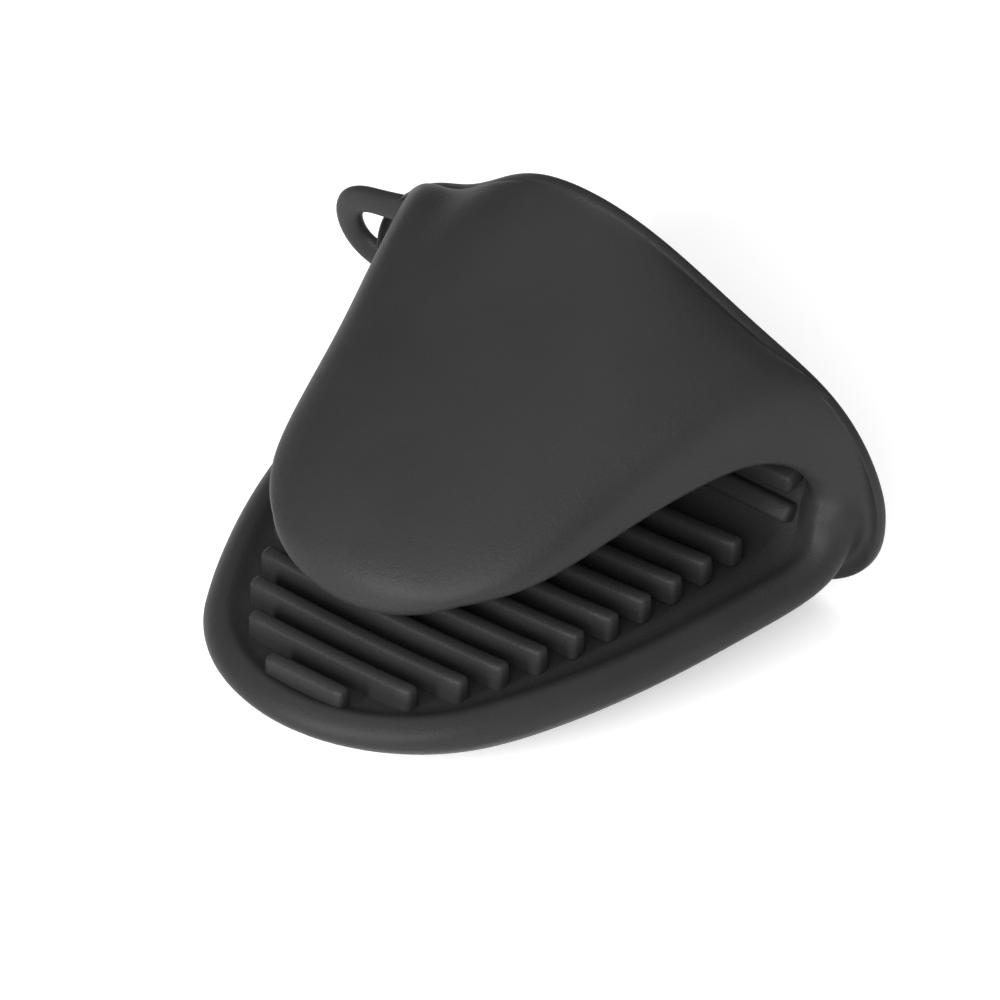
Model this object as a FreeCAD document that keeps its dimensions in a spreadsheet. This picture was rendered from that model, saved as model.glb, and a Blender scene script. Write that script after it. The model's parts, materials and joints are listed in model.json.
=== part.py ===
import FreeCAD, Part
import math
import os

# A moulded silicone pinch mitt, in millimetres.
# +Z is up, -Y points to the finger tips, +X to the right of someone looking along +Y.
# The origin is the middle of the flat patch under the belly, on which the mitt lies.
# The mitt is one soft moulding: its walls, rims, webs and ribs are modelled as named pieces,
# in two halves that swing about the crease at the back of the mouth.

V = FreeCAD.Vector
X_AXIS = V(1, 0, 0)

doc = FreeCAD.newDocument("PinchMitt")

# ---------------------------------------------------------------- driving dimensions
DIMENSIONS = {
    "tip_y": -51.3,             # front of the lower jaw
    "rear_y": 51.4,             # rear face of the cuff at the crease
    "tip_radius": 35.3,         # plan radius of the lower jaw's tip
    "side_radius": 150.0,       # plan radius of the lower jaw's sides
    "tip_sweep": 61.0,          # degrees of tip arc on each side
    "side_flare": 10.5,         # degrees by which the sides still open at the rear
    "wall": 2.2,                # wall of both pockets
    "seam": 0.05,               # gap between neighbouring pieces of one half
    "belly_top": 14.55,         # height at which the belly shell meets the rim
    "belly_depth": 16.0,        # depth of the belly shell before its flat patch is cut
    "belly_run": 34.0,          # length over which the belly falls away from the tip
    "rim_width": 5.0,           # raised rim round the lower jaw
    "rim_crest": 19.0,          # height of the rim's crest
    "rim_round": 2.0,           # rounding of the rim's edges
    "floor_height": 17.0,       # upper face of the ribbed lower palm
    "rib_pitch": 7.56,          # spacing of the grip ribs
    "rib_first_y": -43.2,       # middle of the front rib
    "rib_width": 3.0,           # width of a grip rib
    "rib_height": 4.0,          # height of a grip rib above the lower palm
    "rib_chamfer": 0.5,         # softened edge of a grip rib
    "rib_inset_front": 7.3,     # from the jaw's outline to the ends of the second rib
    "rib_inset_back": 11.6,     # the same at the last rib
    "hinge_y": 46.8,            # crease about which the halves swing
    "hinge_height": 28.3,       # height of that crease
    "hinge_gap": 1.0,           # slack above the crease
    "web_width": 105.0,         # length of the web from side to side
    "web_rib_length": 84.0,     # length of the two ribs that cross the web
    "web_rib_height": 2.2,      # height of those ribs above the web
    "web_rib_angle": 13.0,      # degrees of the web's curve that such a rib covers
    "web_rib_low": -27.0,       # degrees from the crease down to the lower rib's middle
    "web_rib_high": 15.0,       # degrees from the crease up to the upper rib's middle
    "hood_wall": 2.6,           # wall of the hood
    "hood_edge": 2.8,           # width and depth of the hood's rolled edge
    "thumb_rib_height": 2.6,    # height of a rib under the hood
    "thumb_rib_inset": 6.4,     # from the hood's outline to the ends of its ribs
    "cuff_radius": 57.0,        # outer radius of the upper cuff
    "cuff_centre": 18.0,        # height of that radius's centre
    "cuff_band": 3.6,           # cuff from outside to inside
    "cuff_length": 3.4,         # cuff from front to back
    "cuff_lean": 9.3,           # degrees by which the upper cuff leans forward
    "cuff_rise": 3.7,           # from the crease up to the ends of the upper cuff
    "loop_radius": 9.6,         # outside of the hanging loop
    "loop_hole": 4.8,           # radius of the loop's hole
    "loop_thick": 3.0,          # thickness of the loop
    "loop_inset": 1.6,          # from the cuff's outer radius in to the loop's middle
    "loop_height": 40.2,        # height of the loop's middle
}
FINGER_RIBS = 11
THUMB_RIBS = 8
THUMB_RIB_SKIP = 3              # the lower palm reaches this many ribs further forward

sheet = doc.addObject("Spreadsheet::Sheet", "Dimensions")
for row, (alias, value) in enumerate(DIMENSIONS.items(), start=1):
    sheet.set(f"A{row}", alias)
    sheet.set(f"B{row}", str(value))
    sheet.setAlias(f"B{row}", alias)
doc.recompute()


def size(alias):
    """A driving dimension, read back from the sheet."""
    return float(sheet.get(alias))


wall = size("wall")
seam = size("seam")
belly_top = size("belly_top")
rear_y = size("rear_y")
hinge_y = size("hinge_y")
hinge_height = size("hinge_height")

finished = []


def keep(obj, name):
    """Make a document object the sub-part that is written under this name."""
    obj.Label = name
    finished.append(obj)
    return obj


def feature(name, shape, placement=None):
    """A sub-part whose shape is made in code from the sheet's sizes."""
    obj = doc.addObject("Part::Feature", name)
    obj.Shape = shape
    obj.Placement = placement or FreeCAD.Placement()
    return keep(obj, name)


def bind(obj, **sizes):
    """Tie properties of a document object to the sheet's cells."""
    for prop, expression in sizes.items():
        obj.setExpression(prop, expression)
    return obj


# ---------------------------------------------------------------- plan of the lower jaw
TIP_R = size("tip_radius")
SIDE_R = size("side_radius")
TIP_END = math.radians(size("tip_sweep") - 90)
SIDE_END = math.radians(-size("side_flare"))
TIP_CENTRE = V(0, size("tip_y") + TIP_R, 0)
SIDE_CENTRE = TIP_CENTRE + V(math.cos(TIP_END), math.sin(TIP_END), 0) * (TIP_R - SIDE_R)


def polar(centre, radius, angle):
    return centre + V(math.cos(angle), math.sin(angle), 0) * radius


def straight_x(y, inset):
    """Half width of the straight stretch behind the side arc."""
    start = polar(SIDE_CENTRE, SIDE_R - inset, SIDE_END)
    return start.x + (y - start.y) * math.tan(-SIDE_END)


def half_width(y, inset=0.0):
    """Half width of the jaw's plan at y, drawn in by inset."""
    if y <= polar(TIP_CENTRE, TIP_R - inset, TIP_END).y:
        return math.sqrt(max((TIP_R - inset) ** 2 - (y - TIP_CENTRE.y) ** 2, 0.0))
    if y <= polar(SIDE_CENTRE, SIDE_R - inset, SIDE_END).y:
        return SIDE_CENTRE.x + math.sqrt((SIDE_R - inset) ** 2 - (y - SIDE_CENTRE.y) ** 2)
    return straight_x(y, inset)


def mirrored(point):
    return V(-point.x, point.y, point.z)


def half_plan(inset, back):
    """Edges of the right half of the plan, from the tip to the back."""
    tip = polar(TIP_CENTRE, TIP_R - inset, -math.pi / 2)
    tip_mid = polar(TIP_CENTRE, TIP_R - inset, (TIP_END - math.pi / 2) / 2)
    shoulder = polar(TIP_CENTRE, TIP_R - inset, TIP_END)
    side_mid = polar(SIDE_CENTRE, SIDE_R - inset, (TIP_END + SIDE_END) / 2)
    side_end = polar(SIDE_CENTRE, SIDE_R - inset, SIDE_END)
    corner = V(straight_x(back, inset), back, 0)
    return [(tip, tip_mid, shoulder), (shoulder, side_mid, side_end), (side_end, corner)]


def run_edges(runs):
    """Arcs and lines through each run's points."""
    edges = []
    for run in runs:
        if len(run) == 3:
            edges.append(Part.Arc(*run).toShape())
        else:
            edges.append(Part.LineSegment(*run).toShape())
    return edges


def plan_face(inset, back):
    """The whole plan as a flat face, closed straight across at the back."""
    right = half_plan(inset, back)
    left = [tuple(mirrored(point) for point in run) for run in right]
    corner = right[-1][-1]
    closing = [(corner, mirrored(corner))]
    edges = run_edges(right + left + closing)
    return Part.Face(Part.Wire(Part.__sortEdges__(edges)))


def slab(face, low, high):
    """A flat face pulled up into a slab between two heights."""
    lifted = face.translated(V(0, 0, low))
    return lifted.extrude(V(0, 0, high - low))


# ---------------------------------------------------------------- finger half: belly shell
def bow_section(y, half, chord, crown):
    """A chord and the arc that bows away from it to the crown, in the plane y."""
    left = V(-half, y, chord)
    right = V(half, y, chord)
    arc = Part.Arc(left, V(0, y, crown), right).toShape()
    line = Part.LineSegment(right, left).toShape()
    return Part.Wire([arc, line])


def keel(y):
    """Height of the belly's middle line, which falls away from the tip."""
    reach = min((y - size("tip_y")) / size("belly_run"), 1.0)
    return belly_top - size("belly_depth") * (1 - (1 - reach) ** 2)


cuff_front = rear_y - size("cuff_length")
belly_back = cuff_front - seam
belly_front = size("tip_y") + 2.5
BELLY_STATIONS = (0.0, 0.05, 0.14, 0.3, 0.5, 0.75, 1.0)
RIM_TUCK = 0.6                  # the belly starts this far inside the rim's outline


def belly_loft(front, back, inset, lift, chord):
    sections = []
    for share in BELLY_STATIONS:
        y = front + share * (back - front)
        sections.append(bow_section(y, half_width(y, inset), chord, keel(y) + lift))
    return Part.makeLoft(sections, True, False)


BELOW = 30.0                    # spare length of the cutting boxes
pocket_front = belly_front + 3 * wall     # the tip is left solid
belly = belly_loft(belly_front, belly_back, RIM_TUCK, 0.0, belly_top)
pocket = belly_loft(pocket_front, belly_back + wall, RIM_TUCK + wall, wall, belly_top + seam)
ground = Part.makeBox(300, 300, BELOW, V(-150, -150, -BELOW))
feature("finger_shell", belly.cut(pocket).cut(ground))

# ---------------------------------------------------------------- finger half: rim and palm
web_inner = hinge_height - size("floor_height")
web_outer = web_inner + wall
web_y = hinge_y - (web_inner + web_outer) / 2
mouth_back = hinge_y - 1.5 * wall
rim_low = belly_top + seam


def edges_at(shape, height, across=False):
    """Numbers of the edges that lie flat at this height; straight ones across only on request."""
    numbers = []
    for number, edge in enumerate(shape.Edges, start=1):
        box = edge.BoundBox
        flat = abs(box.ZMin - height) < 1e-4 and abs(box.ZMax - height) < 1e-4
        if flat and (across or box.YLength > 1e-4):
            numbers.append(number)
    return numbers


def soften(kind, blank, name, numbers, alias):
    """A fillet or chamfer of the numbered edges, by the size in a cell."""
    soft = doc.addObject(kind, name)
    soft.Base = blank
    amount = size(alias)
    soft.Edges = [(number, amount, amount) for number in numbers]
    return keep(soft, name)


rim_face = plan_face(0, mouth_back).cut(plan_face(size("rim_width"), mouth_back + wall))
rim_blank = doc.addObject("Part::Feature", "finger_rim_blank")
rim_blank.Shape = slab(rim_face, rim_low, size("rim_crest"))
rim_edges = edges_at(rim_blank.Shape, size("rim_crest"))
soften("Part::Fillet", rim_blank, "finger_rim", rim_edges, "rim_round")

palm_face = plan_face(size("rim_width") + seam, web_y - seam)
feature("finger_palm", slab(palm_face, belly_top + 5 * seam, size("floor_height")))


# ---------------------------------------------------------------- grip ribs
def rib(name, y, half_length, low, height_alias, free_height):
    """A straight bar across the mouth whose edges at the free height are softened."""
    bar = doc.addObject("Part::Box", name + "_bar")
    bind(bar, Width="Dimensions.rib_width", Height="Dimensions." + height_alias)
    bar.Length = 2 * half_length
    bar.Placement.Base = V(-half_length, y - size("rib_width") / 2, low)
    doc.recompute()
    numbers = edges_at(bar.Shape, free_height, across=True)
    return soften("Part::Chamfer", bar, name, numbers, "rib_chamfer")


foot = size("floor_height") + seam
for index in range(FINGER_RIBS):
    y = size("rib_first_y") + index * size("rib_pitch")
    nose = y - size("rib_width") / 2
    if index:
        share = (index - 1) / (FINGER_RIBS - 2)
        inset = (1 - share) * size("rib_inset_front") + share * size("rib_inset_back")
    else:
        inset = size("rim_width") + 6 * seam
    free = foot + size("rib_height")
    rib(f"finger_rib_{index + 1:02d}", y, half_width(nose, inset), foot, "rib_height", free)

# ---------------------------------------------------------------- lower cuff
cuff_half = size("cuff_radius")


def cuff_profile(inset):
    """The U of the lower cuff, closed across the top, drawn in by inset."""
    top = hinge_height - 6 * seam
    side = cuff_half - inset
    shoulder = half_width(rear_y) + seam - inset
    ends = [V(side, rear_y, top), V(shoulder, rear_y, belly_top)]
    other = [mirrored(point) for point in reversed(ends)]
    crown = V(0, rear_y, keel(rear_y) + inset)
    edges = [
        Part.LineSegment(ends[0], ends[1]).toShape(),
        Part.Arc(ends[1], crown, other[0]).toShape(),
        Part.LineSegment(other[0], other[1]).toShape(),
        Part.LineSegment(other[1], ends[0]).toShape(),
    ]
    return Part.Face(Part.Wire(edges))


def lower_cuff():
    deep = V(0, -size("cuff_length"), 0)
    outer = cuff_profile(0).extrude(deep)
    inner = cuff_profile(size("cuff_band")).translated(V(0, 0, seam)).extrude(deep)
    inner_above = inner.translated(V(0, 0, 2 * seam))
    return outer.cut(inner).cut(inner_above).cut(ground)


feature("finger_cuff", lower_cuff())


# ---------------------------------------------------------------- web at the back of the mouth
def web_sector(start, end, width, inner, outer):
    """A curved wall round an axis across the mitt, between two angles in degrees."""
    centre = V(-width / 2, web_y, hinge_height)

    def at(radius, degrees):
        angle = math.radians(degrees)
        return centre + V(0, math.cos(angle), math.sin(angle)) * radius

    middle = (start + end) / 2
    edges = [
        Part.Arc(at(outer, start), at(outer, middle), at(outer, end)).toShape(),
        Part.LineSegment(at(outer, end), at(inner, end)).toShape(),
        Part.Arc(at(inner, end), at(inner, middle), at(inner, start)).toShape(),
        Part.LineSegment(at(inner, start), at(outer, start)).toShape(),
    ]
    return Part.Face(Part.Wire(edges)).extrude(X_AXIS * width)


def web_quarter(start, end):
    """Part of the web itself."""
    return web_sector(start, end, size("web_width"), web_inner, web_outer)


def web_rib(angle_alias):
    """A short bar that crosses the web on its hollow side."""
    middle = size(angle_alias)
    spread = size("web_rib_angle") / 2
    face = web_inner - seam
    inner = face - size("web_rib_height")
    return web_sector(middle - spread, middle + spread, size("web_rib_length"), inner, face)


def lower_web():
    """The web's lower quarter, let into the rim and widened behind it."""
    whole = web_quarter(-90, 0)
    within = slab(plan_face(size("rim_width") + seam, rear_y), 0, 2 * hinge_height)
    over = Part.makeBox(300, 300, 300, V(-150, -150, size("rim_crest") + seam))
    return whole.common(within.fuse(over))


feature("finger_web", lower_web())
feature("finger_web_rib", web_rib("web_rib_low"))

# ---------------------------------------------------------------- thumb half: hood
# Each station of the hood: y, half width, height of the rolled edge, height of the crown.
HOOD_STATIONS = [
    (-33.4, 7.0, 33.2, 36.8),
    (-30.5, 15.5, 35.8, 40.7),
    (-26.0, 21.6, 37.6, 44.6),
    (-15.0, 28.8, 39.2, 51.0),
    (0.0, 32.6, 40.8, 57.5),
    (14.0, 36.2, 42.4, 63.2),
    (28.0, 41.0, 43.0, 68.0),
    (38.0, size("cuff_radius") - 9.5, 40.0, size("cuff_radius") + 15.2),
    (46.7, size("cuff_radius") - 2.4, 31.5, size("cuff_radius") + size("cuff_centre")),
]
edge_size = size("hood_edge")
hood_wall = size("hood_wall")


def hood_at(y, column):
    """A column of the hood's stations, read between them in straight steps."""
    for near, far in zip(HOOD_STATIONS, HOOD_STATIONS[1:]):
        if y <= far[0]:
            share = (y - near[0]) / (far[0] - near[0])
            return near[column] + share * (far[column] - near[column])
    return HOOD_STATIONS[-1][column]


def arch_loft(stations, inset, lower, drop):
    """A solid under the hood's arch: sides and crown drawn in, its chord lowered by lower."""
    sections = []
    for y, half, edge, crown in stations:
        chord = edge + edge_size / 2 - lower
        sections.append(bow_section(y, half - inset, chord, crown - drop))
    return Part.makeLoft(sections, True, False)


def strip_loft(stations, inset, low, high):
    """A strip that follows the rolled edge, between two heights measured from its middle."""
    sections = []
    for y, half, edge, _ in stations:
        corners = [V(x, y, z) for x, z in (
            (inset - half, edge + low),
            (half - inset, edge + low),
            (half - inset, edge + high),
            (inset - half, edge + high),
            (inset - half, edge + low),
        )]
        sections.append(Part.makePolygon(corners))
    return Part.makeLoft(sections, True, False)


lean = FreeCAD.Rotation(X_AXIS, size("cuff_lean"))
crease = V(0, hinge_y, hinge_height)
leaning = FreeCAD.Placement(V(0, 0, 0), lean, crease)
behind = Part.makeBox(300, 300, 300, V(-150, cuff_front - seam, -150))
behind.Placement = leaning

cavity_stations = [(HOOD_STATIONS[2][0] + hood_wall / 2, *HOOD_STATIONS[2][1:])]
cavity_stations += HOOD_STATIONS[3:]
last = HOOD_STATIONS[-1]
back_station = (last[0] + hood_wall, last[1], last[2], last[3])
hood = arch_loft(HOOD_STATIONS, 0.0, 0.0, 0.0)
cavity = arch_loft(cavity_stations + [back_station], hood_wall, hood_wall, hood_wall)
feature("thumb_shell", hood.cut(cavity).cut(behind))

# ---------------------------------------------------------------- thumb half: edge, palm, web
half_edge = edge_size / 2
corner_y = mouth_back
corner = (corner_y, *(hood_at(corner_y, column) for column in (1, 2, 3)))
edge_stations = HOOD_STATIONS[:-1] + [corner]
frame = strip_loft(edge_stations, 0.0, -half_edge, half_edge - seam)
window = strip_loft(edge_stations[1:] + [back_station], edge_size, -edge_size, edge_size)
feature("thumb_rim", frame.cut(window))

PALM_LOW = 0.8                  # the palm's face lies this far above the rolled edge's foot
palm_low = PALM_LOW - half_edge
palm_strip = strip_loft(
    edge_stations[1:] + [back_station], edge_size + 4 * seam, palm_low, half_edge - 4 * seam)
palm_span = Part.makeBox(300, 300, 300, V(-150, web_y - seam - 300, -150))
palm_nose = Part.makeBox(300, 300, 300, V(-150, HOOD_STATIONS[1][0] + seam, -150))
feature("thumb_palm", palm_strip.common(palm_span).common(palm_nose))

slack = math.degrees(size("hinge_gap") / web_inner)
within_hood = arch_loft(
    HOOD_STATIONS + [back_station], hood_wall + 12 * seam, 2 * web_inner, hood_wall + 12 * seam)
feature("thumb_web", web_quarter(slack, 90).common(within_hood))
feature("thumb_web_rib", web_rib("web_rib_high"))

RIB_SINK = 0.3                  # the ribs clear the curved palm by this much
for index in range(THUMB_RIBS):
    y = size("rib_first_y") + (index + THUMB_RIB_SKIP) * size("rib_pitch")
    reach = [y - size("rib_width") / 2, y + size("rib_width") / 2]
    top = min(hood_at(edge_y, 2) for edge_y in reach) + palm_low - RIB_SINK
    half = hood_at(reach[0], 1) - size("thumb_rib_inset")
    low = top - size("thumb_rib_height")
    rib(f"thumb_rib_{index + 1:02d}", y, half, low, "thumb_rib_height", low)

# ---------------------------------------------------------------- thumb half: cuff and loop
centre_z = size("cuff_centre")


def disc(radius, x, z, front, thick):
    """A round plate that faces backwards."""
    return Part.makeCylinder(radius, thick, V(x, front, z), V(0, 1, 0))


def upper_cuff():
    thick = size("cuff_length")
    ring = disc(size("cuff_radius"), 0, centre_z, cuff_front, thick).cut(
        disc(size("cuff_radius") - size("cuff_band"), 0, centre_z, cuff_front, thick))
    under = Part.makeBox(300, 300, 300, V(-150, -150, hinge_height + size("cuff_rise") - 300))
    return ring.cut(under)


feature("thumb_cuff", upper_cuff(), leaning)

loop_disc = doc.addObject("Part::Cylinder", "loop_disc")
bind(loop_disc, Radius="Dimensions.loop_radius", Height="Dimensions.loop_thick")
loop_bore = doc.addObject("Part::Cylinder", "loop_bore")
bind(loop_bore, Radius="Dimensions.loop_hole", Height="Dimensions.loop_thick")
cuff_core = doc.addObject("Part::Cylinder", "cuff_core")
bind(cuff_core, Radius="Dimensions.cuff_radius + Dimensions.seam", Height="Dimensions.loop_thick")
backwards = FreeCAD.Rotation(X_AXIS, -90)
loop_y = cuff_front + seam
for round_plate in (loop_disc, loop_bore):
    round_plate.Placement = FreeCAD.Placement(V(size("loop_inset") - size("cuff_radius"), loop_y, size("loop_height")), backwards)
cuff_core.Placement = FreeCAD.Placement(V(0, loop_y, centre_z), backwards)
loop_ring = doc.addObject("Part::Cut", "loop_ring")
loop_ring.Base = loop_disc
loop_ring.Tool = loop_bore
hanging_loop = doc.addObject("Part::Cut", "hanging_loop")
hanging_loop.Base = loop_ring
hanging_loop.Tool = cuff_core
hanging_loop.Placement = leaning
keep(hanging_loop, "hanging_loop")

# ---------------------------------------------------------------- checks and files
doc.recompute()
for obj in doc.Objects:
    for state in obj.State:
        if state in ("Invalid", "Error"):
            raise SystemExit(f"{obj.Label} did not compute")
for obj in finished:
    if obj.Shape.isNull() or not obj.Shape.isValid() or not obj.Shape.Solids:
        raise SystemExit(f"{obj.Label} has no valid solid")

os.makedirs("parts", exist_ok=True)
for obj in finished:
    obj.Shape.exportStep(f"parts/{obj.Label}.step")
    box = obj.Shape.BoundBox
    print(f"{obj.Label:16s} {obj.Shape.Volume:9.1f} mm3, {len(obj.Shape.Solids)} solid, "
          f"x {box.XMin:.1f} {box.XMax:.1f}, y {box.YMin:.1f} {box.YMax:.1f}, "
          f"z {box.ZMin:.1f} {box.ZMax:.1f}")
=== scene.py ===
# %% [markdown]
# # A moulded silicone pinch mitt
# The real mitt is one moulding of soft silicone: two hollow jaws that grow out of one rear cuff,
# a ribbed gripping face on each jaw, and a flat hanging loop. The frame holds its walls, rims, webs
# and ribs as separate solids on two bodies. Here they get the one continuous skin of the moulding,
# with the ribs and the loop as pieces of their own.

# %% Load the frame
import json
import math

import bmesh
import bpy
from mathutils import Matrix, Vector


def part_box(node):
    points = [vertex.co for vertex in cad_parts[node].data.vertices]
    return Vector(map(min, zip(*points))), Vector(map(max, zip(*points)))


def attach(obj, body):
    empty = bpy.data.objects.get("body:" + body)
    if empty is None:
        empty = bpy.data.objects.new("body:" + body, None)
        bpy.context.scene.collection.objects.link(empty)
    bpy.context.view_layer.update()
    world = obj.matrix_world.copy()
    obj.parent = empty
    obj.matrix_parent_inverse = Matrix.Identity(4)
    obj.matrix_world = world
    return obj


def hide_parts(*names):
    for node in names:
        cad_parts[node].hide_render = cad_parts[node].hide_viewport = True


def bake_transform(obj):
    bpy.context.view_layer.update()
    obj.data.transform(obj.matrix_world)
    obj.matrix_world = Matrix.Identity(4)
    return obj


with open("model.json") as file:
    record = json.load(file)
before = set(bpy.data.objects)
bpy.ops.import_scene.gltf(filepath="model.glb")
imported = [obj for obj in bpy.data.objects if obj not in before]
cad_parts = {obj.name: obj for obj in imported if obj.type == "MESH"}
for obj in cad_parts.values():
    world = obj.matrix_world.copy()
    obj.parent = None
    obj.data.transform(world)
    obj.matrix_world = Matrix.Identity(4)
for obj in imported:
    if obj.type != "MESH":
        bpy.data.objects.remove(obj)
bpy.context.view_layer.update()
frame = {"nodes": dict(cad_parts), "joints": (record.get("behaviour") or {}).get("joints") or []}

MM = 0.001

# %% [markdown]
# ## Places that the frame fixes
# Sizes below are in millimetres in the frame's own axes: +Z up, -Y towards the tips, +X to the
# right. The corners of a few solids give the places that the skin has to keep to, so the skin
# follows the frame wherever the two must agree.


# %% Read the driving places
def corner(node, top):
    """The lowest or highest corner of a solid, in millimetres."""
    return Vector(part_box(node)[1 if top else 0]) / MM


hinge = next(joint for joint in frame["joints"] if joint["name"] == "jaw_hinge")
hinge_mm = Vector(hinge["pos_m"]) / MM
TIP_Y = corner("finger_rim", False).y
FLOOR_Z = corner("finger_palm", True).z
CUFF_HALF = corner("finger_cuff", True).x
CUFF_BACK = corner("finger_cuff", True).y
CUFF_TOP = corner("thumb_cuff", True).z
print("hinge", [round(v, 1) for v in hinge_mm], "floor", round(FLOOR_Z, 1), "tip", round(TIP_Y, 1))

# %% [markdown]
# ## The plan of the lower jaw
# Seen from above, the lower jaw is drawn with three curves that run into each other: a tight arc
# round the tip, a long arc down each side, and a straight flare into the cuff. A short function
# gives the half width at any place along the mitt, which everything on the jaw then shares.

# %% Half width of the lower jaw
BEAD_OUT = 0.8                  # the soft edge stands this far outside the solid rim
TIP_RADIUS = 35.3 + BEAD_OUT
SIDE_RADIUS = 150.0 + BEAD_OUT
TIP_SWEEP = math.radians(61)
SIDE_FLARE = math.radians(10.5)
TIP_CENTRE_Y = TIP_Y + TIP_RADIUS - BEAD_OUT
FOOT_Y = TIP_CENTRE_Y - TIP_RADIUS * math.cos(TIP_SWEEP)
SIDE_CENTRE_X = (TIP_RADIUS - SIDE_RADIUS) * math.sin(TIP_SWEEP)
SIDE_CENTRE_Y = TIP_CENTRE_Y - (TIP_RADIUS - SIDE_RADIUS) * math.cos(TIP_SWEEP)
FLARE_Y = SIDE_CENTRE_Y - SIDE_RADIUS * math.sin(SIDE_FLARE)
FLARE_X = SIDE_CENTRE_X + SIDE_RADIUS * math.cos(SIDE_FLARE)


def jaw_half_width(y):
    """Half width of the lower jaw at one place along the mitt."""
    if y < FOOT_Y:
        return math.sqrt(max(TIP_RADIUS ** 2 - (y - TIP_CENTRE_Y) ** 2, 0.0))
    if y < FLARE_Y:
        return SIDE_CENTRE_X + math.sqrt(SIDE_RADIUS ** 2 - (y - SIDE_CENTRE_Y) ** 2)
    return FLARE_X + (y - FLARE_Y) * math.tan(SIDE_FLARE)


print("half width at the middle", round(jaw_half_width(0), 1))

# %% [markdown]
# ## Stations of the two jaws
# A mould maker would draw this form as a row of arches. Each arch stands with its two feet on the
# mouth's edge and passes over the crown, and the arches lean further forward one by one until the
# last lies flat round the tip. The lower jaw is the same idea upside down. A station holds what one
# arch needs: y, half width and height of its feet, y and height of its crown, how square it is
# across (2 is an ellipse), and how fast it climbs (2 for a last arch that dips round the tip).

# %% Station tables
MOUTH_CORNER = (50.0, 54.2, 27.0)
HOOD = [
    (*MOUTH_CORNER, 39.6, 74.3, 2.4, 1.0),
    (46.0, 49.6, 33.6, 37.0, 73.0, 2.6, 1.0),
    (40.9, 46.0, 40.3, 31.6, 70.2, 3.0, 1.0),
    (32.5, 42.0, 44.2, 24.0, 66.7, 3.5, 1.0),
    (21.9, 38.8, 44.3, 14.6, 63.1, 3.5, 1.0),
    (10.0, 35.5, 43.0, 3.0, 58.5, 3.1, 1.0),
    (-2.0, 33.1, 41.4, -9.0, 53.6, 2.8, 1.0),
    (-12.0, 30.8, 40.2, -18.5, 49.0, 2.45, 1.0),
    (-18.5, 28.2, 39.5, -25.5, 45.0, 2.3, 1.0),
    (-23.2, 25.0, 39.0, -30.9, 41.2, 2.15, 1.1),
    (-26.1, 22.3, 38.5, -33.9, 37.9, 2.0, 1.6),
    (-27.2, 21.0, 38.2, -34.9, 34.2, 2.0, 2.0),
]
JAW_SIDE_Z = 14.4               # height of the widest line round the lower jaw
BELLY_RUN = 34.0                # length over which the belly climbs to the tip
BELLY_FULL = 1.6                # a shallow bowl, with its sides drawn in
BELLY_LEAN = 3.0                # how far a belly's lowest point lies in front of its feet


def keel(y):
    """Height of the belly's lowest line."""
    reach = min((y - TIP_Y + BEAD_OUT) / BELLY_RUN, 1.0)
    return JAW_SIDE_Z * (1 - reach) ** 2


def belly_station(foot_y, crown_y):
    """A station whose feet lie on the widest line of the jaw and whose crown is on the keel."""
    return (foot_y, jaw_half_width(foot_y), JAW_SIDE_Z, crown_y, keel(crown_y), BELLY_FULL, 1.0)


BELLY = [
    (*MOUTH_CORNER, 46.0, 0.2, 2.4, 1.0),
    (46.2, 52.9, 21.6, 43.0, 0.0, 2.0, 1.0),
    (41.5, jaw_half_width(41.5), 16.4, 38.0, 0.0, 1.7, 1.0),
]
BELLY += [belly_station(y, y - BELLY_LEAN) for y in (33.0, 24.0, 14.0, 4.0, -6.0, -15.5)]
BELLY += [belly_station(-23.5, -27.0), belly_station(-28.6, -36.0), belly_station(-31.8, -44.5)]
BELLY += [(FOOT_Y, jaw_half_width(FOOT_Y), JAW_SIDE_Z, TIP_Y - BEAD_OUT, JAW_SIDE_Z, 2.0, 1.0)]
print(len(HOOD), "stations over the hood,", len(BELLY), "under the belly")

# %% [markdown]
# ## From a station to an arch
# An even number of points across keeps every point off the centre line, and gives each side the
# same count, so the mouth's lining can later run straight from one side to the other.

# %% One arch
ACROSS = 28
# where and how wide in degrees, how deep, and how fast it fades towards the tips
DENTS = ((54, 26, 0.175, 1.3), (125, 12, 0.15, 1.3), (148, 15, 0.09, 8.0))
DENT_END_Y = -10.0              # the dents have faded out here
TURN_IN = math.sin(TIP_SWEEP)


def shoulder_dent(turn, near):
    """Share of the height that the dents take away; near is 1 at the cuff, 0 where they end."""
    degrees = math.degrees(turn)
    return sum(deep * near ** fading * math.exp(-((degrees - at) / wide) ** 2)
               for at, wide, deep, fading in DENTS)


def arch_point(station, index):
    """Point of an arch, counted from the right foot over the crown to the left foot."""
    foot_y, half, foot_z, crown_y, crown_z, square, climb = station
    turn = math.pi * index / (ACROSS - 1)
    side = math.copysign(abs(math.cos(turn)) ** (2 / square), math.cos(turn))
    rise = math.sin(turn) ** (2 / square)
    if crown_z > foot_z:
        near = (foot_y - DENT_END_Y) / (MOUTH_CORNER[0] - DENT_END_Y)
        rise *= 1 - shoulder_dent(turn, max(near, 0.0))
    floor_share = math.cos(TIP_SWEEP)
    forward = (math.sqrt(1 - (side * TURN_IN) ** 2) - floor_share) / (1 - floor_share)
    return Vector((half * side, foot_y + (crown_y - foot_y) * forward,
                   foot_z + (crown_z - foot_z) * rise ** climb))


print("crown of the middle arch", [round(v, 1) for v in arch_point(HOOD[5], ACROSS // 2)])

# %% [markdown]
# ## The cuff's lip
# The rear opening is a loaf-shaped ring that leans forward above the crease. It has a soft dent on
# the right shoulder, and two side by side on the left, where the hanging loop grows out. A lip as
# wide as a fine bead runs round it and stands a little proud of the skin, so the edge won't tear.

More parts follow.
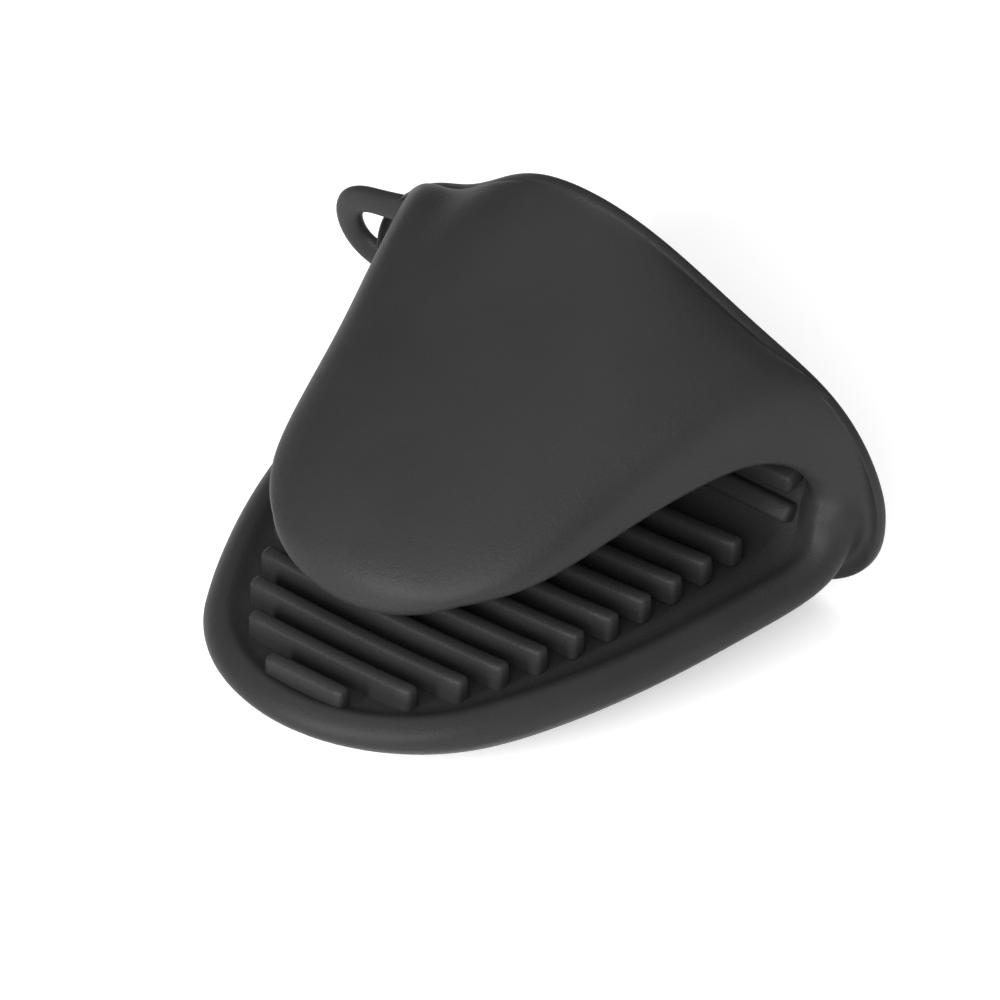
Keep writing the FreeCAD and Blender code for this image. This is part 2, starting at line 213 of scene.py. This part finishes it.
# %% Rings of the lip
LEAN = math.tan(math.radians(9.3))
LIP_HIGHER = 0.9                # the soft lip stands this far above the solid cuff
CUFF_SQUARE = 2.75              # below the crease the cuff is a rounded box
LIP_RINGS = ((0.0, -1.6), (-0.05, -0.6), (0.3, 0.1), (1.5, 0.2), (2.3, 0.05), (2.6, -0.45))


def cuff_point(ring, index, upper):
    """Point of a lip ring: how far forward and how far proud it is comes from LIP_RINGS."""
    forward, proud = ring
    turn = math.pi * index / (ACROSS - 1)
    if upper:
        side = math.cos(turn)
        height = (CUFF_TOP + LIP_HIGHER - MOUTH_CORNER[2] + proud) * math.sin(turn)
        height *= 1 - shoulder_dent(turn, 1.0)
        lean = height * LEAN
    else:
        side = math.copysign(abs(math.cos(turn)) ** (2 / CUFF_SQUARE), math.cos(turn))
        height = -(MOUTH_CORNER[2] + min(proud, 0.0)) * math.sin(turn) ** (2 / CUFF_SQUARE)
        lean = 0.0
    return Vector(((CUFF_HALF + proud) * side, CUFF_BACK - forward - lean,
                   MOUTH_CORNER[2] + height))


print("top of the lip", [round(v, 1) for v in cuff_point(LIP_RINGS[2], ACROSS // 2, True)])

# %% [markdown]
# ## Laying a sheet
# Each part of the skin is a grid that a function puts in place, point by point. Neighbouring grids
# give the same points along the line they share, so merging doubles joins them into one skin.


# %% Grid helper
def lay_sheet(bm, rows, columns, place):
    """Adds a grid of rows by columns points and moves each to place(row, column)."""
    made = bmesh.ops.create_grid(bm, x_segments=columns - 1, y_segments=rows - 1, size=1.0)
    for order, vert in enumerate(made["verts"]):
        row, column = divmod(order, columns)
        vert.co = place(row, column) * MM


def count(bm):
    """Size of a mesh, for a progress line."""
    return f"{len(bm.verts)} points, {len(bm.faces)} faces"


skin = bmesh.new()
for upper, stations in ((True, HOOD), (False, BELLY)):
    rings = len(LIP_RINGS)

    def outer(row, column):
        if row < rings:
            return cuff_point(LIP_RINGS[row], column, upper)
        return arch_point(stations[row - rings], column)

    lay_sheet(skin, rings + len(stations), ACROSS, outer)
print("outer skin:", count(skin))

# %% [markdown]
# ## The rolled edge
# Where the skin turns into the mouth it thickens to a rounded bead: a fat one round the lower jaw,
# and a slim rolled one round the hood. The edge is walked from the right corner of the mouth round
# the tip to the left corner, and a small section is carried along it. At a corner the upper and
# the lower bead are one and the same, and bulge straight forward.

# %% Walk along a mouth edge
# how far inward and how far into the mouth each line of the bead lies
JAW_BEAD = ((0.0, 0.0), (0.2, 2.4), (1.8, 4.2), (3.9, 5.2), (5.5, 4.5), (6.9, 3.7), (8.6, 3.4))
HOOD_BEAD = ((0.0, 0.0), (-0.1, 1.1), (0.4, 2.2), (1.5, 2.7), (2.7, 2.3), (3.7, 1.5), (5.2, 1.1))
CORNER_BEAD = ((0.0, 0.0), (0.9, 2.6), (2.4, 5.6), (4.6, 7.7), (6.9, 8.0), (9.4, 6.6), (11.9, 4.4))


MOUTH_HEART_Y = 8.0             # all beads turn in towards this place on the centre line
MOUTH_LEAN = 0.6                # how strongly a bead faces forward, next to 1 up or down


def edge_path(stations):
    """The feet of the arches, from the right corner round the tip to the left corner."""
    right = [arch_point(station, 0) for station in stations[:-1]]
    tip = [arch_point(stations[-1], index) for index in range(ACROSS)]
    left = [arch_point(station, ACROSS - 1) for station in reversed(stations[:-1])]
    return right + tip + left


def edge_frames(path, into_mouth):
    """Inward and into-the-mouth directions at each point of the path."""
    frames = []
    for index, point in enumerate(path):
        before = path[max(index - 1, 0)]
        after = path[min(index + 1, len(path) - 1)]
        along = (after - before).normalized()
        inward = Vector((0, 0, 1)).cross(Vector((along.x, along.y, 0)))
        if inward.dot(Vector((-point.x, MOUTH_HEART_Y - point.y, 0))) < 0:
            inward.negate()
        inward.normalize()
        bulge = along.cross(inward).normalized()
        if bulge.dot(Vector((0, -MOUTH_LEAN, into_mouth))) < 0:
            bulge.negate()
        frames.append((inward, bulge))
    return frames


def bead_point(path, frames, bead, index, line):
    """A point of the bead's section at one place of the edge."""
    steps_from_corner = min(index, len(path) - 1 - index)
    if steps_from_corner == 0:
        inset, height = CORNER_BEAD[line]
        return path[index] - Vector((math.copysign(inset, path[index].x), height, 0))
    inset, height = bead[line]
    if steps_from_corner == 1:
        inset, height = [(a + b) / 2 for a, b in zip(bead[line], CORNER_BEAD[line])]
    inward, bulge = frames[index]
    return path[index] + inward * inset + bulge * height


edges = {}
for name, stations, bead, into_mouth in (
        ("hood", HOOD, HOOD_BEAD, -1), ("jaw", BELLY, JAW_BEAD, 1)):
    path = edge_path(stations)
    edges[name] = (path, edge_frames(path, into_mouth), bead)
    lay_sheet(skin, len(path), len(bead), lambda row, line: bead_point(*edges[name], row, line))
    print(name, "edge:", len(path), "points; skin now", count(skin))

# %% [markdown]
# ## The lining of the mouth
# Inside the beads runs one smooth sheet: the floor of the lower jaw, the rounded web at the back,
# and the palate under the hood. The floor is dished, so a pan handle seats itself in the middle.
# Rows run straight across between matching points of the beads, and in front of the last station
# they fan out to the bead of the tip.

# %% Height of the lining along its middle
WEB_CENTRE = (34.4, hinge_mm.z)
WEB_RADIUS = 11.3
LENS_ROWS = {"hood": 3, "jaw": 5}       # rows between the last station and the tip


def along(table, y):
    """Straight interpolation in a table of (y, value), held at its ends."""
    table = sorted(table)
    for (y0, z0), (y1, z1) in zip(table, table[1:]):
        if y0 <= y <= y1:
            return z0 + (z1 - z0) * (y - y0) / (y1 - y0)
    return table[0][1] if y < table[0][0] else table[-1][1]


def web_point(z):
    """Middle of the web at one height, as (y, z)."""
    rise = min(abs(z - WEB_CENTRE[1]), WEB_RADIUS)
    return (WEB_CENTRE[0] + math.sqrt(WEB_RADIUS ** 2 - rise ** 2), z)


thumb_ribs = sorted(node for node in frame["nodes"] if node.startswith("thumb_rib_"))
finger_ribs = sorted(node for node in frame["nodes"] if node.startswith("finger_rib_"))
PALATE = [((corner(rib, False).y + corner(rib, True).y) / 2, corner(rib, True).z)
          for rib in thumb_ribs[:-1]]
PALATE += [(33.0, WEB_CENTRE[1] + WEB_RADIUS + 1.2), (-34.0, PALATE[0][1] - 1.5)]
MIDDLES = {
    "hood": [web_point(MOUTH_CORNER[2]), web_point(33.2), (40.9, 38.2)],
    "jaw": [web_point(MOUTH_CORNER[2]), web_point(21.2), (39.9, 18.0)],
}


def middle(name, station, foot_y):
    """Where a row of the lining crosses the centre line, as (y, z)."""
    if station < len(MIDDLES[name]):
        return MIDDLES[name][station]
    return (foot_y, along(PALATE, foot_y) if name == "hood" else FLOOR_Z)


print("web reaches back to", round(WEB_CENTRE[0] + WEB_RADIUS, 1))


# %% Rows of the lining
def straight_row(name, station, column, toe):
    """Point of a row that runs from the right toe to its mirror image on the left."""
    side = math.cos(math.pi * column / (ACROSS - 1))
    mid_y, mid_z = middle(name, station, toe.y)
    sag = 1 - side * side
    return Vector((toe.x * side, toe.y + (mid_y - toe.y) * sag, toe.z + (mid_z - toe.z) * sag))


def lining_point(name, row, column):
    """A point of the floor or the palate; rows past the last station fan out to the tip."""
    path, frames, bead = edges[name]
    last_line = len(bead) - 1
    last_station = (len(path) - ACROSS) // 2
    if row <= last_station:
        toe = bead_point(path, frames, bead, row, last_line)
        return straight_row(name, row, column, toe)
    toe = bead_point(path, frames, bead, last_station, last_line)
    near = straight_row(name, last_station, column, toe)
    far = bead_point(path, frames, bead, last_station + column, last_line)
    return near.lerp(far, (row - last_station) / LENS_ROWS[name])


for name, stations in (("hood", HOOD), ("jaw", BELLY)):
    rows = len(stations) + LENS_ROWS[name]
    lay_sheet(skin, rows, ACROSS, lambda row, column: lining_point(name, row, column))
print("with its lining:", count(skin))

# %% [markdown]
# ## The pockets
# The hand goes into two pockets that share the rear opening, with the web standing between them.
# Each pocket repeats the outer arches one wall further in, and its inner wall follows the lining,
# so the moulding has a real, even thickness instead of a paper edge.

# %% Inner walls
WALL = 2.2
FOOT_INSET = 5.6                # the beads are solid, so the pockets start this far inside
FOOT_BACK = 1.2
FOOT_LIFT = 1.4
CROWN_BACK = WALL + 0.2
INNER_LIP = (1.6, -2.6)


def inner_station(name, station):
    """An outer station, one wall further in."""
    foot_y, half, foot_z, crown_y, crown_z, square, climb = station
    up = 1 if name == "hood" else -1
    return (foot_y + FOOT_BACK, half - FOOT_INSET, foot_z + up * FOOT_LIFT,
            crown_y + CROWN_BACK, crown_z - up * WALL, square, climb)


def pocket_arch(name, stations, row, column):
    """A point of a pocket's outer wall: two rings of the lip first, then the inner arches."""
    if row == 0:
        return cuff_point(LIP_RINGS[0], column, name == "hood")
    if row == 1:
        return cuff_point(INNER_LIP, column, name == "hood")
    station = stations[row - 2]
    if row == 2:
        station = (station[0], station[1], MOUTH_CORNER[2], *station[3:])
    return arch_point(station, column)


def pocket_wall(name, stations, row, column):
    """Inner wall behind the lining, between the feet of the inner arches."""
    last = len(stations) - 1
    row_station = min(row, last)
    up = 1 if name == "hood" else -1
    foot = pocket_arch(name, stations, row_station + 2, 0)
    side = math.cos(math.pi * column / (ACROSS - 1))
    mid_y, mid_z = middle(name, row_station, foot.y)
    back = WALL if row_station < 2 else 0.0
    lift = 0.0 if row_station == 0 else WALL * up
    sag = 1 - side * side
    point = Vector((foot.x * side, foot.y + (mid_y + back - foot.y) * sag,
                    foot.z + (mid_z + lift - foot.z) * sag))
    if row <= last:
        return point
    return point.lerp(pocket_arch(name, stations, last + 2, column), (row - last) / 2)


for name, table in (("hood", HOOD), ("jaw", BELLY)):
    inner = [inner_station(name, station) for station in table[:-1]]
    lay_sheet(skin, len(inner) + 2, ACROSS,
              lambda row, column: pocket_arch(name, inner, row, column))
    lay_sheet(skin, len(inner) + 2, ACROSS,
              lambda row, column: pocket_wall(name, inner, row, column))
print("with its pockets:", count(skin))

# %% [markdown]
# ## Closing the skin
# Merging doubles joins the sheets along the lines they share. The result has no open edge, so its
# normals can be recalculated to face outwards, and two levels of subdivision round it off.


# %% Merge, check and finish a piece
MERGE = 0.02                    # points closer than this are one point


def finish_piece(name, bm, levels=0):
    """Makes a smooth-shaded object at the origin from a bmesh."""
    bmesh.ops.remove_doubles(bm, verts=bm.verts, dist=MERGE * MM)
    bmesh.ops.dissolve_degenerate(bm, edges=bm.edges, dist=0.001 * MM)
    bmesh.ops.recalc_face_normals(bm, faces=bm.faces)
    open_edges = sum(1 for edge in bm.edges if not edge.is_manifold)
    mesh = bpy.data.meshes.new(name)
    bm.to_mesh(mesh)
    bm.free()
    piece = bpy.data.objects.new(name, mesh)
    bpy.context.scene.collection.objects.link(piece)
    for face in mesh.polygons:
        face.use_smooth = True
    if levels:
        smooth = piece.modifiers.new("smooth", "SUBSURF")
        smooth.levels = smooth.render_levels = levels
        apply_modifiers(piece)
    print(name, len(piece.data.polygons), "faces,", open_edges, "open or doubled edges")
    return piece


def apply_modifiers(piece):
    """Replaces a piece's mesh by what its modifiers make of it."""
    depsgraph = bpy.context.evaluated_depsgraph_get()
    mesh = bpy.data.meshes.new_from_object(piece.evaluated_get(depsgraph))
    piece.modifiers.clear()
    piece.data = mesh
    for face in mesh.polygons:
        face.use_smooth = True


mitt_skin = finish_piece("mitt_skin", skin, levels=2)

# %% [markdown]
# ## The gripping ribs
# Straight bars run across both gripping faces, with crisp sides and slightly broken edges, and they
# follow the dish of the surface that they stand on. A bar starts as a cube, has its edges bevelled
# and its root widened, is cut into short lengths, and is then bent. Its place and size are read from
# the rib's own solid; only the lower ribs then move a little forward and grow a little taller.

# %% Rib helper
RIB_CUTS = 11                   # lengths that a bar is cut into
RIB_SOFT = 0.9                  # width of the broken edges
RIB_ROOT = 0.8                  # how deep a rib's root sits in the skin
RIB_DRAFT = 0.34                # a root is wider by this share, so that the mould lets go
JAW_RIB_GROWS = 1.0             # the lower ribs stand this much further forward and up


def rib_bar(lowest, highest, bend, rooted_low=True):
    """A bar between two corners, wider at its root, bent by adding bend(x) to its height."""
    bm = bmesh.new()
    bmesh.ops.create_cube(bm, size=1.0)
    bmesh.ops.scale(bm, verts=bm.verts, vec=highest - lowest)
    bmesh.ops.translate(bm, verts=bm.verts, vec=(highest + lowest) / 2)
    bmesh.ops.bevel(bm, geom=list(bm.edges), offset=RIB_SOFT, offset_type="OFFSET",
                    affect="EDGES", segments=2, profile=0.5, material=-1, clamp_overlap=True)
    root_z = lowest.z if rooted_low else highest.z
    for vert in bm.verts:
        if abs(vert.co.z - root_z) < RIB_SOFT * 1.1:
            vert.co.y += (vert.co.y - (highest.y + lowest.y) / 2) * RIB_DRAFT
    for cut in range(1, RIB_CUTS):
        x = lowest.x + (highest.x - lowest.x) * cut / RIB_CUTS
        bmesh.ops.bisect_plane(bm, geom=bm.verts[:] + bm.edges[:] + bm.faces[:],
                               plane_co=(x, 0, 0), plane_no=(1, 0, 0))
    for vert in bm.verts:
        vert.co.z += bend(vert.co.x)
    bmesh.ops.scale(bm, verts=bm.verts, vec=(MM, MM, MM))
    return bm


LONGEST_RIB = max(corner(rib, True).x for rib in finger_ribs)


def face_rib(node, up, dish):
    """A rib of a gripping face, rooted in the skin and bent as much as the skin is dished."""
    lowest, highest = corner(node, False), corner(node, True)
    if up > 0:
        lowest += Vector((0, -JAW_RIB_GROWS, -RIB_ROOT))
        highest += Vector((0, -JAW_RIB_GROWS, JAW_RIB_GROWS))
    else:
        highest.z += RIB_ROOT
    bar = rib_bar(lowest, highest, lambda x: dish * (x / LONGEST_RIB) ** 2, up > 0)
    return finish_piece(node + "_bar", bar)


JAW_DISH = 1.7                  # how far the longest ribs rise from their middle to their ends
PALATE_DISH = 0.6
rib_pieces = []
for node in finger_ribs:
    rib_pieces.append((face_rib(node, 1, JAW_DISH), node, "finger_half"))
for node in thumb_ribs:
    rib_pieces.append((face_rib(node, -1, PALATE_DISH), node, "thumb_half"))
print(len(rib_pieces), "ribs")

# %% [markdown]
# ## Two ribs on the web
# One short step above and one below the crease, two more ribs cross the web at the back of the
# mouth. They lean with the curve of the web, so each is a bar turned about the middle of the web's
# curve. The web folds when the mouth opens; these ribs stay where they are made.

# %% Web ribs
WEB_RIB_THICK = 3.8
WEB_RIB_PROUD = 3.2             # from the web's nominal curve to the rib's face
WEB_RIB_DEEP = 4.2              # from its face to its root, inside the web
web_ribs = []
for node in ("finger_web_rib", "thumb_web_rib"):
    lowest, highest = corner(node, False), corner(node, True)
    middle_y, middle_z = (lowest.y + highest.y) / 2, (lowest.z + highest.z) / 2
    angle = math.atan2(middle_z - WEB_CENTRE[1], middle_y - WEB_CENTRE[0])
    face_y = WEB_CENTRE[0] + WEB_RADIUS - WEB_RIB_PROUD
    bar = rib_bar(Vector((lowest.x, face_y, WEB_CENTRE[1] - WEB_RIB_THICK / 2)),
                  Vector((highest.x, face_y + WEB_RIB_DEEP,
                          WEB_CENTRE[1] + WEB_RIB_THICK / 2)),
                  lambda x: 0.0)
    bmesh.ops.rotate(bar, verts=bar.verts, cent=Vector((0, *WEB_CENTRE)) * MM,
                     matrix=Matrix.Rotation(angle, 3, "X"))
    web_ribs.append((finish_piece(node + "_bar", bar), node))

# %% [markdown]
# ## The hanging loop
# A flat ring of silicone grows out of the left shoulder of the cuff, for a hook. It is an open
# C whose two arms run into the cuff. A short row of sections is carried along the loop's path, as
# a sheet whose far side closes on its near side, and its arms end inside the cuff.

# %% Loop path and section
LOOP_PATH = [
    (-44.5, 47.8, 3.3), (-49.0, 46.9, 3.0), (-53.5, 45.7, 2.7), (-57.8, 44.8, 2.7),
    (-60.9, 42.7, 2.85), (-62.4, 39.2, 2.95), (-62.0, 35.4, 2.95), (-60.2, 32.6, 2.9),
    (-57.2, 31.1, 2.9), (-53.2, 30.6, 3.1),
]
LOOP_THICK = 2.9
LOOP_BACK = 0.35                # how far the loop's rear face lies in front of the cuff's back
SECTION = [(1, 0.35), (1, -0.35), (0.62, -1), (-0.62, -1), (-1, -0.35), (-1, 0.35),
           (-0.62, 1), (0.62, 1), (1, 0.35)]


def loop_point(row, column):
    """A point of the loop: row counts along its path, column round its flat section."""
    x, z, half_band = LOOP_PATH[row]
    before = LOOP_PATH[max(row - 1, 0)]
    after = LOOP_PATH[min(row + 1, len(LOOP_PATH) - 1)]
    along_path = Vector((after[0] - before[0], 0, after[1] - before[1])).normalized()
    outward = Vector((-along_path.z, 0, along_path.x))
    across, deep = SECTION[column]
    lean = max(z - MOUTH_CORNER[2], 0.0) * LEAN
    y = CUFF_BACK - LOOP_BACK - LOOP_THICK / 2 - lean
    through = Vector((0, LOOP_THICK / 2 * deep, 0))
    return Vector((x, y, z)) + outward * (half_band * across) + through


loop_mesh = bmesh.new()
lay_sheet(loop_mesh, len(LOOP_PATH), len(SECTION), loop_point)
bmesh.ops.remove_doubles(loop_mesh, verts=loop_mesh.verts, dist=MERGE * MM)
bmesh.ops.holes_fill(loop_mesh, edges=loop_mesh.edges)
hanging_loop = finish_piece("hanging_loop_ring", loop_mesh, levels=2)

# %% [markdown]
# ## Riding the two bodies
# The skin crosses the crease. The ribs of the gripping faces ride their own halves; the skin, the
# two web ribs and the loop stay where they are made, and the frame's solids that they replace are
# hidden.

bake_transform(mitt_skin)
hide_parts("finger_shell", "finger_rim", "finger_palm", "finger_web", "finger_cuff",
            "thumb_shell", "thumb_rim", "thumb_palm", "thumb_web", "thumb_cuff")
for piece, node, body in rib_pieces:
    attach(piece, body)
    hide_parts(node)
for piece, node in web_ribs:
    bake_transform(piece)
    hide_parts(node)
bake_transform(hanging_loop)
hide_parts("hanging_loop")
pieces = [mitt_skin, hanging_loop] + [piece for piece, *_ in web_ribs + rib_pieces]
print(len(pieces), "pieces")

# %% [markdown]
# ## Node trees as expressions
# Procedural finishes need a little arithmetic on textures. A small wrapper round a node socket lets
# that arithmetic be written as Python expressions; each operator adds one Math node.


# %% Socket wrapper
class Wire:
    """A value socket in a node tree, with arithmetic."""

    def __init__(self, tree, socket):
        self.tree = tree
        self.socket = socket

    def math(self, operation, other):
        values = {0: self, 1: other}
        return add_node(self.tree, "ShaderNodeMath", {"operation": operation}, values)["Value"]

    def __add__(self, other):
        return self.math("ADD", other)

    def __mul__(self, other):
        return self.math("MULTIPLY", other)

    __radd__ = __add__


def add_node(tree, kind, settings=None, values=None):
    """Adds a node; settings are set first, then values or wires go into its sockets."""
    node = tree.nodes.new(kind)
    for key, value in (settings or {}).items():
        if key == "ramp":
            while len(node.color_ramp.elements) < len(value):
                node.color_ramp.elements.new(0.5)
            for stop, (place, colour) in zip(node.color_ramp.elements, value):
                stop.position = place
                stop.color = colour
        else:
            setattr(node, key, value)
    for key, value in (values or {}).items():
        if isinstance(value, Wire):
            tree.links.new(value.socket, node.inputs[key])
        else:
            node.inputs[key].default_value = value
    return {socket.name: Wire(tree, socket) for socket in node.outputs if socket.enabled}


# %% [markdown]
# ## Charcoal silicone
# The mould is blasted, so the real skin is satin with a grain too fine to count, which only shows
# in a highlight. Broad, faint clouding in the sheen comes from handling. The grain is a bump from
# two sizes of noise. The clouding drives the roughness and shifts the grey a little, so highlights
# break up softly and the colour stays a neutral dark grey.

# %% Silicone material
SILICONE_DARK = (0.0162, 0.0162, 0.0166, 1)
SILICONE_PALE = (0.0210, 0.0210, 0.0215, 1)
GRAIN_SIZE = 0.00042            # metres between grains of the blasted skin
PORE_SIZE = 0.0011
CLOUD_SIZE = 0.021


def noise(tree, place, size, detail, rough=0.5):
    """Noise of one grain size in metres, as a wire."""
    values = {"Vector": place, "Scale": 1 / size, "Detail": detail, "Roughness": rough}
    made = add_node(tree, "ShaderNodeTexNoise", {"noise_dimensions": "3D"}, values)
    return made.get("Fac") or made["Factor"]


def silicone_material():
    """Satin charcoal with a fine grain and faint clouding."""
    material = bpy.data.materials.new("charcoal_silicone")
    material.use_nodes = True
    tree = material.node_tree
    tree.nodes.clear()
    place = add_node(tree, "ShaderNodeTexCoord")["Object"]
    grain = noise(tree, place, GRAIN_SIZE, 1.0)
    pores = noise(tree, place, PORE_SIZE, 2.0)
    clouds = noise(tree, place, CLOUD_SIZE, 4.0, 0.55)
    colour = add_node(tree, "ShaderNodeValToRGB",
                      {"ramp": [(0.3, SILICONE_DARK), (0.75, SILICONE_PALE)]},
                      {"Fac": clouds * 0.7 + grain * 0.3})["Color"]
    bump = add_node(tree, "ShaderNodeBump", None,
                    {"Height": grain * 0.6 + pores * 0.4, "Strength": 0.6,
                     "Distance": 0.0002})["Normal"]
    shader = add_node(tree, "ShaderNodeBsdfPrincipled", None, {
        "Base Color": colour, "Roughness": 0.40 + clouds * 0.14, "Normal": bump,
        "Specular IOR Level": 0.16, "IOR": 1.43,
    })["BSDF"]
    add_node(tree, "ShaderNodeOutputMaterial", None, {"Surface": shader})
    return material


silicone = silicone_material()
for piece in pieces:
    piece.data.materials.clear()
    piece.data.materials.append(silicone)
for node in frame["nodes"]:
    solid = bpy.data.objects.get(node)
    if solid is not None:
        for slot in solid.material_slots:
            slot.material = silicone
print("material:", silicone.name)

# %% [markdown]
# ## Studio
# The mitt lies on a white sweep in even, soft light: a broad panel hangs overhead, a narrow one in
# front of the tip draws the soft highlight on the hood's nose, a large one beside the camera opens
# the mouth, and the white room fills the rest. The camera stands far off with parallel rays, as a
# long lens sees it.

# %% Floor, light and camera
FLOOR_SIZE = 3.0
LOOK_AT = Vector((0.0, 11.8, 26.1)) * MM
AZIMUTH, ELEVATION = math.radians(38.0), math.radians(38.6)
FRAME_WIDTH = 0.17857
CAMERA_AWAY = 1.5
TOWARDS_CAMERA = Vector((math.sin(AZIMUTH) * math.cos(ELEVATION),
                         -math.cos(AZIMUTH) * math.cos(ELEVATION), math.sin(ELEVATION)))


def white_floor():
    """A large sheet of white paper that glows a little, so that it stays white."""
    bm = bmesh.new()
    bmesh.ops.create_grid(bm, x_segments=1, y_segments=1, size=FLOOR_SIZE / 2)
    mesh = bpy.data.meshes.new("floor")
    bm.to_mesh(mesh)
    bm.free()
    floor = bpy.data.objects.new("floor", mesh)
    bpy.context.scene.collection.objects.link(floor)
    material = bpy.data.materials.new("white_paper")
    material.use_nodes = True
    shader = material.node_tree.nodes["Principled BSDF"]
    shader.inputs["Base Color"].default_value = (0.92, 0.92, 0.92, 1)
    shader.inputs["Roughness"].default_value = 0.9
    shader.inputs["Emission Color"].default_value = (1, 1, 1, 1)
    shader.inputs["Emission Strength"].default_value = 0.30
    mesh.materials.append(material)
    return floor


def panel(name, place, size, power):
    """A soft rectangular light that faces the mitt."""
    light = bpy.data.lights.new(name, "AREA")
    light.shape = "RECTANGLE"
    light.size, light.size_y = size
    light.energy = power
    lamp = bpy.data.objects.new(name, light)
    lamp.location = place
    lamp.rotation_euler = (Vector(place) - LOOK_AT).to_track_quat("Z", "Y").to_euler()
    bpy.context.scene.collection.objects.link(lamp)


floor = white_floor()
panel("top_panel", (-0.10, 0.15, 0.90), (1.0, 0.8), 3.0)
panel("tip_panel", (-0.12, -0.84, 0.38), (0.18, 0.40), 7.5)
panel("front_panel", (0.50, -0.72, 0.55), (0.8, 0.6), 12.0)

world = bpy.data.worlds.new("white_room")
world.use_nodes = True
world.node_tree.nodes["Background"].inputs["Color"].default_value = (1.0, 1.0, 1.0, 1)
world.node_tree.nodes["Background"].inputs["Strength"].default_value = 0.33
bpy.context.scene.world = world
bpy.context.scene.view_settings.view_transform = "Standard"

camera_data = bpy.data.cameras.new("camera")
camera_data.type = "ORTHO"
camera_data.ortho_scale = FRAME_WIDTH
camera_data.clip_end = 10.0
camera = bpy.data.objects.new("camera", camera_data)
camera.location = LOOK_AT + TOWARDS_CAMERA * CAMERA_AWAY
camera.rotation_euler = TOWARDS_CAMERA.to_track_quat("Z", "Y").to_euler()
bpy.context.scene.collection.objects.link(camera)
bpy.context.scene.camera = camera

# %% Finish
print("scene built")
